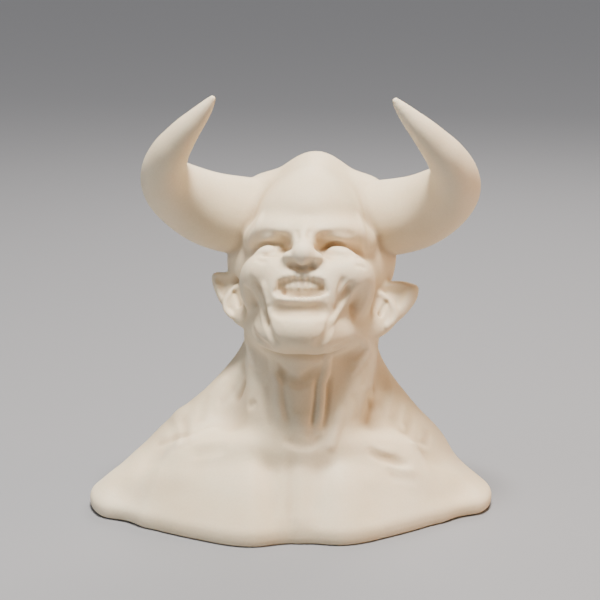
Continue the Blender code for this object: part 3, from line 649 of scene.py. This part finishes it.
def chest_folds(clay):
    """The crease between the chest muscles, and the creases and ridges out to the shoulders."""
    press(clay, (
        # The crease between the muscles
        ([(-0.8, -46), (-1.0, -54), (-1.1, -62), (-1.1, -70), (-1.1, -76)], 3.4, 0.6),
        # Under the collar bone at the figure's own left
        ([(23, -48), (27.5, -50.1), (30.5, -51.6), (35.2, -53.0), (41, -53.4)], 2.6, 0.8),
        ([(28, -52.8), (32, -54.1), (35.2, -55.1), (41, -56)], 3.0, -0.35),
        # Across the front of the shoulder at its own right
        ([(-42, -48.2), (-36, -46), (-30, -43.4), (-24, -42)], 3, -0.9),
        ([(-36, -50), (-30, -48.9), (-25.6, -48), (-21, -46.4)], 3.4, 0.5),
    ))


def spine_groove(clay):
    """The shallow groove down the back."""
    clay.stroke([(-5, 72), (-4, 58), (-2, 44), (0, 30), (0, 14)], 7, 2.0, BEHIND)


def skin_lines(clay):
    """The fine lines and scallops of the skin, two bumps on the shoulders and specks of print flaw."""
    press(clay, (
        # Beside the chin
        ([(-13.7, -7.8), (-12.3, -10.6), (-9.5, -13), (-6.3, -14.8)], 2.0, 0.8),
        ([(20.7, -11.3), (17.5, -12.7), (14, -14.1), (11.6, -15.2)], 2.0, 0.8),
        # The edges of the forehead, raised
        ([(-10.5, 30.4), (-11.6, 25.2), (-14, 20.9), (-14.7, 16.4)], 2.6, -0.6),
        ([(20.3, 30.4), (22.1, 25.2), (23.1, 19.9), (23.8, 14.3)], 2.6, -0.6),
        # Crow's feet, and the lines under the eyes
        ([(19.6, 14.2), (21.4, 14.6), (23.6, 14.4)], 1.1, 0.5),
        ([(19.4, 12.0), (21.4, 11.8), (23.4, 11.2)], 1.1, 0.5),
        ([(-12.6, 14.4), (-10.6, 13.4), (-8.0, 13.0)], 1.2, 0.4),
        ([(-11.2, 15.7), (-7.7, 15.0), (-4.2, 15.2)], 1.3, 0.5),
        ([(9.1, 15.2), (12.3, 14.1), (15.8, 14.1), (18.6, 14.5)], 1.3, 0.5),
        # Over the brows, and the frown between them
        ([(-13, 21.6), (-8.8, 22.6), (-5.3, 22), (-1.4, 20.2)], 1.8, 0.5),
        ([(7, 20.9), (9.8, 22), (14, 22.6), (18.2, 22.3), (20, 21.3)], 1.8, 0.5),
        ([(0.8, 23.6), (1.0, 21.6), (1.6, 19.8)], 1.3, 0.6),
        ([(5.2, 23.8), (4.8, 21.8), (4.6, 20.0)], 1.3, 0.5),
        # The wings and the tip of the nose
        ([(-3.5, 12.9), (-2.5, 13.8), (-1.1, 13.5)], 1.2, 0.6),
        ([(6.6, 13.2), (8, 13.2), (9.3, 12.0)], 1.2, 0.6),
        ([(0.2, 12.4), (2.4, 11.2), (4.6, 12.2)], 1.2, 0.4),
        # The neck at the figure's own right
        ([(-14.8, -20.6), (-13.8, -22), (-12.2, -23.1), (-10.2, -23.5)], 1.8, 0.3),
        ([(-14.8, -23.0), (-13.4, -24.6), (-11.8, -25.6), (-9.8, -25.8)], 1.8, 0.3),
        ([(-18.4, -20.8), (-16.6, -22.4), (-15.6, -25)], 2.8, 0.3),
        ([(-12.2, -32.2), (-13.8, -33.4), (-15.4, -34)], 2.0, 0.6),
        # The shoulder at its own right
        ([(-43.4, -39.6), (-41.6, -42.6), (-40.2, -46.0), (-39.8, -49)], 3.0, 0.3),
        ([(-38.6, -37.6), (-37.2, -41), (-36.6, -44.6), (-36.8, -48)], 3.0, 0.4),
        ([(-48, -47.6), (-44, -47.2), (-39, -45), (-33, -43.8)], 2.6, 0.5),
        ([(-31.4, -32.4), (-31.0, -37), (-31.6, -41.4)], 3.0, 0.25),
        # The neck and the shoulder at its own left
        ([(23.6, -18.7), (23.9, -24.9), (22.4, -28.2)], 1.8, 0.3),
        ([(26.6, -27), (27.2, -32.4), (25.9, -37)], 2.8, 0.25),
        ([(30.9, -24.4), (31.4, -29), (30.4, -33.6), (28.6, -38)], 3.2, 0.4),
        ([(35.6, -31), (35.8, -34.6), (34.6, -38.6), (32.6, -42)], 3.2, 0.4),
        ([(40, -35.6), (40, -39), (38.6, -42.6), (36, -45)], 3.2, 0.4),
        ([(45.8, -43), (45.6, -46), (43.8, -49.6)], 2.8, 0.5),
        ([(38, -46), (42, -48.6), (47, -50)], 2.4, -0.4),
        ([(30, -56), (36, -57.6), (43, -59)], 3.2, 0.35),
        # The pit, the collar bone and the chest at its own left
        ([(3.8, -44.1), (5.4, -43.4), (7, -41.3)], 1.4, 0.3),
        ([(26.2, -48.3), (30, -49.0), (36, -49.6)], 2.4, -0.35),
        ([(25.9, -58), (26.4, -66), (25.9, -73)], 7.0, 0.35),
        # The foot of the neck, at both sides
        ([(-19, -27.4), (-22.6, -31.4), (-26.4, -34.6)], 2.8, 0.35),
        ([(-22.6, -24.6), (-26.4, -29), (-30, -32.4)], 2.8, -0.35),
        ([(19.4, -29.2), (20.8, -34.4), (20.4, -40)], 2.4, 0.35),
    ))
    # A bump on each shoulder, and the specks beside the mouth
    clay.dab(-39.5, 32.4, 6, -0.9, y=10)
    clay.dab(37.1, -42.8, 2.2, -0.5, SEEN)
    for x, z in ((-5.8, 3.6), (-4.8, 2.7), (-3.1, 3.0)):
        clay.dab(x, z, 1.2, 1.3, SEEN)


def sculpt(step):
    """The whole figure as clay, worked on a grid of this step."""
    head = Frame(HEAD_PLACE, (-HEAD_TILT, 0, HEAD_TURN))
    clay = Clay(CLAY_LOW, CLAY_HIGH, step)
    torso(clay)
    neck(clay)
    skull(clay, head)
    face(clay, head)
    mouth(clay, head)
    ears(clay, head)
    horns(clay, head)
    laugh_folds(clay)
    eye_slits(clay)
    neck_folds(clay)
    chest_folds(clay)
    spine_groove(clay)
    skin_lines(clay)
    clay.stand_on_rim(RIM_HEIGHT / UNIT, RIM_EDGE / UNIT)
    return clay


def skin_of(clay, name):
    """The clay's surface as a mesh object, in metres."""
    volume = openvdb.FloatGrid(FAR)
    volume.copyFromArray(np.ascontiguousarray(clay.field))
    points, faces = volume.convertToQuads(isovalue=0.0)
    start = np.array([axis[0] for axis in clay.axes])
    points = (points * clay.step + start) * UNIT
    mesh = bpy.data.meshes.new(name)
    mesh.from_pydata(points.tolist(), [], faces[:, ::-1].tolist())
    return bpy.data.objects.new(name, mesh)


def thin_out(piece, triangles):
    """Draws the skin with fewer, well placed triangles."""
    thinner = piece.modifiers.new("fewer triangles", "DECIMATE")
    thinner.ratio = triangles / sum(len(face.vertices) - 2 for face in piece.data.polygons)
    bpy.context.view_layer.update()
    graph = bpy.context.evaluated_depsgraph_get()
    mesh = bpy.data.meshes.new_from_object(piece.evaluated_get(graph))
    piece.modifiers.remove(thinner)
    piece.data = mesh


def cut_flat(piece):
    """Cuts the underside flat at the ground and closes it, and drops any crumb left over."""
    work = bmesh.new()
    work.from_mesh(piece.data)
    bmesh.ops.bisect_plane(work, geom=[*work.verts, *work.edges, *work.faces], dist=GROUND_SNAP,
                           plane_co=(0, 0, 0), plane_no=(0, 0, 1), clear_inner=True)
    bmesh.ops.holes_fill(work, edges=[edge for edge in work.edges if edge.is_boundary])
    left = set(work.verts)
    bodies = []
    while left:
        body, reached = set(), [left.pop()]
        while reached:
            vertex = reached.pop()
            body.add(vertex)
            for edge in vertex.link_edges:
                other = edge.other_vert(vertex)
                if other in left:
                    left.remove(other)
                    reached.append(other)
        bodies.append(body)
    crumbs = sorted(bodies, key=len)[:-1]
    bmesh.ops.delete(work, geom=[vertex for body in crumbs for vertex in body], context="VERTS")
    bmesh.ops.triangulate(work, faces=work.faces)
    bmesh.ops.recalc_face_normals(work, faces=work.faces)
    work.to_mesh(piece.data)
    work.free()


def centre(piece):
    """Puts the origin under the middle of the bust's bounding box."""
    points = np.array([vertex.co for vertex in piece.data.vertices])
    middle = (points.min(axis=0) + points.max(axis=0)) / 2
    for vertex in piece.data.vertices:
        vertex.co.x -= middle[0]
        vertex.co.y -= middle[1]


def blurred(field, reach):
    """The field averaged over a cube that reaches this many cells each way."""
    width = 2 * reach + 1
    for axis in range(3):
        pad = [(0, 0)] * 3
        pad[axis] = (reach + 1, reach)
        total = np.cumsum(np.pad(field, pad, mode="edge"), axis=axis, dtype=np.float32)
        count = total.shape[axis]
        upto = np.take(total, range(width, count), axis)
        before = np.take(total, range(count - width), axis)
        field = (upto - before) / width
    return field


def mark_relief(piece, clay):
    """Writes for each point how far it stands out of the skin around it, or lies in a hollow."""
    start = np.array([axis[0] for axis in clay.axes])
    points = np.array([vertex.co for vertex in piece.data.vertices]) / UNIT
    place = (points - start) / clay.step
    low = np.clip(np.floor(place).astype(int), 0, np.array(clay.field.shape) - 2)
    share = place - low
    relief = np.zeros(len(points))
    for reach, power in RELIEF_REACHES:
        around = blurred(np.clip(clay.field, -reach, reach), round(reach / clay.step))
        for corner in np.ndindex(2, 2, 2):
            weight = np.prod(np.where(corner, share, 1 - share), axis=1)
            relief += power * weight * around[tuple((low + corner).T)] / reach
    tint = piece.data.attributes.new(RELIEF, "FLOAT", "POINT")
    tint.data.foreach_set("value", relief.astype(np.float32))


def resin():
    """Unpainted cream resin: matt, a little see-through, faintly mottled, with painted shade in its
    hollows and a painted highlight on its ridges.
    """
    material = bpy.data.materials.new("cast_resin")
    material.use_nodes = True
    nodes, links = material.node_tree.nodes, material.node_tree.links
    shader = nodes["Principled BSDF"]
    shader.inputs["Subsurface Weight"].default_value = GLOW
    shader.inputs["Subsurface Radius"].default_value = GLOW_COLOURS
    shader.inputs["Subsurface Scale"].default_value = GLOW_REACH
    shader.inputs["Specular IOR Level"].default_value = SHINE
    place = nodes.new("ShaderNodeTexCoord")

    def noise(scale, detail, rough):
        node = nodes.new("ShaderNodeTexNoise")
        node.inputs["Scale"].default_value = scale
        node.inputs["Detail"].default_value = detail
        node.inputs["Roughness"].default_value = rough
        links.new(place.outputs["Object"], node.inputs["Vector"])
        return node.outputs["Fac"]

    def ramp(value, stops):
        node = nodes.new("ShaderNodeValToRGB")
        points = node.color_ramp.elements
        for n, (position, colour) in enumerate(stops):
            point = points[n] if n < 2 else points.new(position)
            point.position = position
            point.color = (*colour, 1)
        links.new(value, node.inputs["Fac"])
        return node.outputs["Color"]

    def blend(kind, factor, first, second):
        node = nodes.new("ShaderNodeMix")
        node.data_type = "RGBA"
        node.blend_type = kind
        sockets = (node.inputs["Factor"], node.inputs[FIRST_COLOUR], node.inputs[SECOND_COLOUR])
        for socket, value in zip(sockets, (factor, first, second)):
            if isinstance(value, bpy.types.NodeSocket):
                links.new(value, socket)
            else:
                socket.default_value = value
        return node.outputs[MIXED_COLOUR]

    cloudy = ramp(noise(*CLOUD_NOISE), CLOUDS)
    grain = ramp(noise(*GRAIN_NOISE), GRAIN)
    cast = blend("MULTIPLY", GRAIN_SHARE, cloudy, grain)
    mark = nodes.new("ShaderNodeAttribute")
    mark.attribute_name = RELIEF
    bends = nodes.new("ShaderNodeMapRange")
    bends.inputs["From Min"].default_value = -1.0
    links.new(mark.outputs["Fac"], bends.inputs["Value"])
    # Painted shade: the relief attribute darkens the colour in hollows and creases, where shade would
    # fall
    hollow = ramp(bends.outputs["Result"], PAINTED_SHADE_RAMP)
    # Painted highlight: the relief attribute lightens the colour on ridges and raised folds
    raised = ramp(bends.outputs["Result"], PAINTED_HIGHLIGHT_RAMP)
    painted_shade = blend("MULTIPLY", hollow, cast, PAINTED_SHADE_COLOUR)
    painted_highlight = blend("SCREEN", raised, painted_shade, PAINTED_HIGHLIGHT_COLOUR)
    links.new(painted_highlight, shader.inputs["Base Color"])
    matt = nodes.new("ShaderNodeMapRange")
    matt.inputs["To Min"].default_value, matt.inputs["To Max"].default_value = ROUGHNESS
    links.new(noise(*MATT_NOISE), matt.inputs["Value"])
    links.new(matt.outputs["Result"], shader.inputs["Roughness"])
    bump = nodes.new("ShaderNodeBump")
    bump.inputs["Strength"].default_value = PORE_STRENGTH
    bump.inputs["Distance"].default_value = PORE_DEPTH
    links.new(noise(*PORE_NOISE), bump.inputs["Height"])
    links.new(bump.outputs["Normal"], shader.inputs["Normal"])
    return material


def floor_paint():
    """The floor's plain pale paint."""
    material = bpy.data.materials.new("pale_floor")
    material.use_nodes = True
    shader = material.node_tree.nodes["Principled BSDF"]
    shader.inputs["Base Color"].default_value = (*FLOOR_COLOUR, 1)
    shader.inputs["Roughness"].default_value = FLOOR_ROUGHNESS
    return material


def floor():
    """A wide pale floor that the bust stands on."""
    mesh = bpy.data.meshes.new("floor")
    half = FLOOR_WIDTH / 2
    corners = [(-half, -half, 0), (half, -half, 0), (half, half, 0), (-half, half, 0)]
    mesh.from_pydata(corners, [], [(0, 1, 2, 3)])
    mesh.materials.append(floor_paint())
    ground = bpy.data.objects.new("floor", mesh)
    bpy.context.scene.collection.objects.link(ground)


def look_at(thing, target):
    """Turns a lamp or camera to face this point."""
    thing.rotation_euler = (Vector(target) - thing.location).to_track_quat("-Z", "Y").to_euler()


def studio():
    """Soft light: from above, from behind, cool from the bust's right and warm from its left, low."""
    above = bpy.data.lights.new("overhead", "SUN")
    above.energy = OVERHEAD_POWER
    above.angle = math.radians(OVERHEAD_WIDTH)
    hook = bpy.data.objects.new("overhead", above)
    hook.rotation_euler.x = math.radians(OVERHEAD_LEAN)
    bpy.context.scene.collection.objects.link(hook)
    for name, place, size, watts, colour in LAMPS:
        lamp = bpy.data.lights.new(name, "AREA")
        lamp.shape = "DISK"
        lamp.size = size
        lamp.energy = watts
        lamp.color = colour
        stand = bpy.data.objects.new(name, lamp)
        stand.location = place
        bpy.context.scene.collection.objects.link(stand)
        look_at(stand, AIM)
    world = bpy.data.worlds.new("studio")
    world.use_nodes = True
    room = world.node_tree.nodes["Background"]
    room.inputs["Color"].default_value = (*ROOM_COLOUR, 1)
    room.inputs["Strength"].default_value = ROOM_LIGHT
    bpy.context.scene.world = world


def camera():
    """The photo's view: a little from the bust's right, from above the chest, with a long lens."""
    view = bpy.data.cameras.new("photo_view")
    view.sensor_width = SENSOR * MM_PER_METRE
    view.lens = LENS * MM_PER_METRE
    view.shift_x, view.shift_y = (pixels / PHOTO_PIXELS for pixels in SHIFT_PIXELS)
    view.clip_start = CLIP_START
    view.clip_end = CLIP_END
    eye = bpy.data.objects.new("photo_view", view)
    across, up = math.radians(VIEW_AROUND), math.radians(VIEW_ABOVE)
    away = Vector((math.sin(across) * math.cos(up), -math.cos(across) * math.cos(up), math.sin(up)))
    eye.location = Vector(AIM) + VIEW_DISTANCE * away
    bpy.context.scene.collection.objects.link(eye)
    look_at(eye, AIM)
    bpy.context.scene.camera = eye


def bust():
    """The sculpted bust, which stands for the CAD solid."""
    clay = sculpt(GRID_STEP)
    piece = skin_of(clay, "bust_sculpt")
    bpy.context.scene.collection.objects.link(piece)
    thin_out(piece, TRIANGLES)
    # The relief written here drives the resin's painted shade in hollows and painted highlight on ridges
    mark_relief(piece, clay)
    cut_flat(piece)
    centre(piece)
    piece.data.shade_smooth()
    piece.data.materials.append(resin())
    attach(piece, "root")
    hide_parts("devil_bust")


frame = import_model()
camera()
studio()
floor()
bust()
